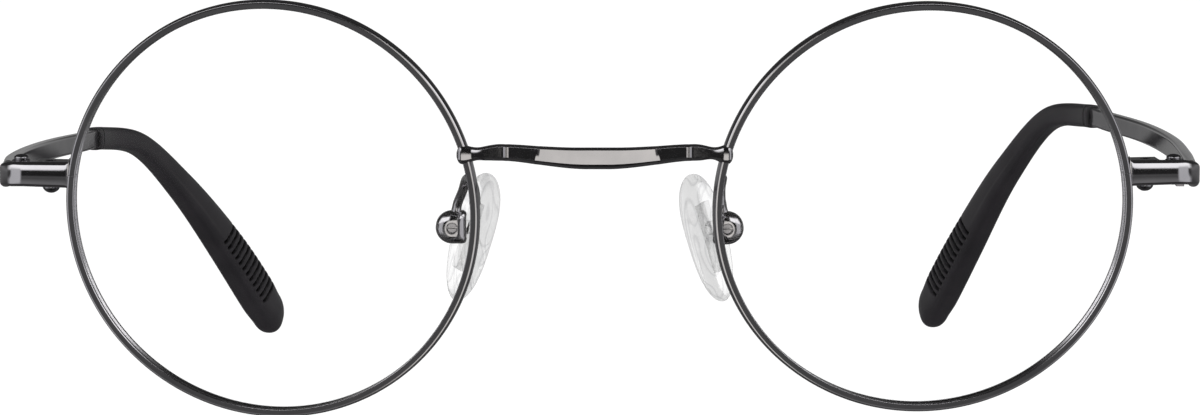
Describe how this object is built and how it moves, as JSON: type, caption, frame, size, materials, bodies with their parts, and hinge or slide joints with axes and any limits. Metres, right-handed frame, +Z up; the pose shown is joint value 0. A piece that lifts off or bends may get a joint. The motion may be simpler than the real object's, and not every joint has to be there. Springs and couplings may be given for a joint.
{
  "type": "round wire eyeglasses",
  "caption": "Full-rim round metal eyeglasses with a flat-fronted bridge, clear lenses, adjustable silicone nose pads, folding temples and dark plastic temple tips with grip ridges.",
  "frame": {"origin": "middle of the flat front face of the bridge", "axes": "+Z up from the table the glasses stand on, +X towards the wearer's left, +Y back along the temples towards the wearer's ears"},
  "size_m": [0.1295, 0.139, 0.0438],
  "materials": {
    "frame_metal": "polished dark gunmetal plating with hard reflections",
    "hinge_metal": "gunmetal plating, less polished than the frame",
    "screw_steel": "small bright machined screws",
    "clear_lens": "clear and uncoated",
    "pad_silicone": "clear glossy silicone",
    "pad_insert": "pale insert seen through the clear pad",
    "tip_plastic": "satin near-black with a soft sheen"
  },
  "bodies": {
    "front": {"bridge": "frame_metal", "left_rim": "frame_metal", "left_lens": "clear_lens", "left_rim_lock_upper": "frame_metal", "left_rim_lock_lower": "frame_metal", "left_rim_lock_screw": "screw_steel", "left_hinge_front": "hinge_metal", "left_hinge_screw": "screw_steel", "left_endpiece": "frame_metal", "left_pad_arm": "frame_metal", "left_pad_box": "frame_metal", "left_pad_screw": "screw_steel", "right_rim": "frame_metal", "right_lens": "clear_lens", "right_rim_lock_upper": "frame_metal", "right_rim_lock_lower": "frame_metal", "right_rim_lock_screw": "screw_steel", "right_hinge_front": "hinge_metal", "right_hinge_screw": "screw_steel", "right_endpiece": "frame_metal", "right_pad_arm": "frame_metal", "right_pad_box": "frame_metal", "right_pad_screw": "screw_steel"},
    "left_temple_arm": {"left_temple": "frame_metal", "left_hinge_rear": "hinge_metal", "left_temple_tip": "tip_plastic"},
    "left_pad": {"left_nose_pad": "pad_silicone", "left_pad_insert": "pad_insert"},
    "right_temple_arm": {"right_temple": "frame_metal", "right_hinge_rear": "hinge_metal", "right_temple_tip": "tip_plastic"},
    "right_pad": {"right_nose_pad": "pad_silicone", "right_pad_insert": "pad_insert"}
  },
  "joints": [
    {"name": "left_temple_fold", "type": "hinge", "parent": "front", "child": "left_temple_arm", "pos_m": [0.061, 0.01374, -0.00181], "axis": [0, -0.1132, 0.9936], "range_deg": [0, 83]},
    {"name": "right_temple_fold", "type": "hinge", "parent": "front", "child": "right_temple_arm", "pos_m": [-0.061, 0.01374, -0.00181], "axis": [0, 0.1132, -0.9936], "range_deg": [0, 77]},
    {"name": "left_pad_rock", "type": "hinge", "parent": "front", "child": "left_pad", "pos_m": [0.01365, 0.01003, -0.00761], "axis": [0, 0.9936, 0.1132], "range_deg": [-6, 6]},
    {"name": "right_pad_rock", "type": "hinge", "parent": "front", "child": "right_pad", "pos_m": [-0.0153, 0.01002, -0.00751], "axis": [0, 0.9936, 0.1132], "range_deg": [-6, 6]}
  ]
}
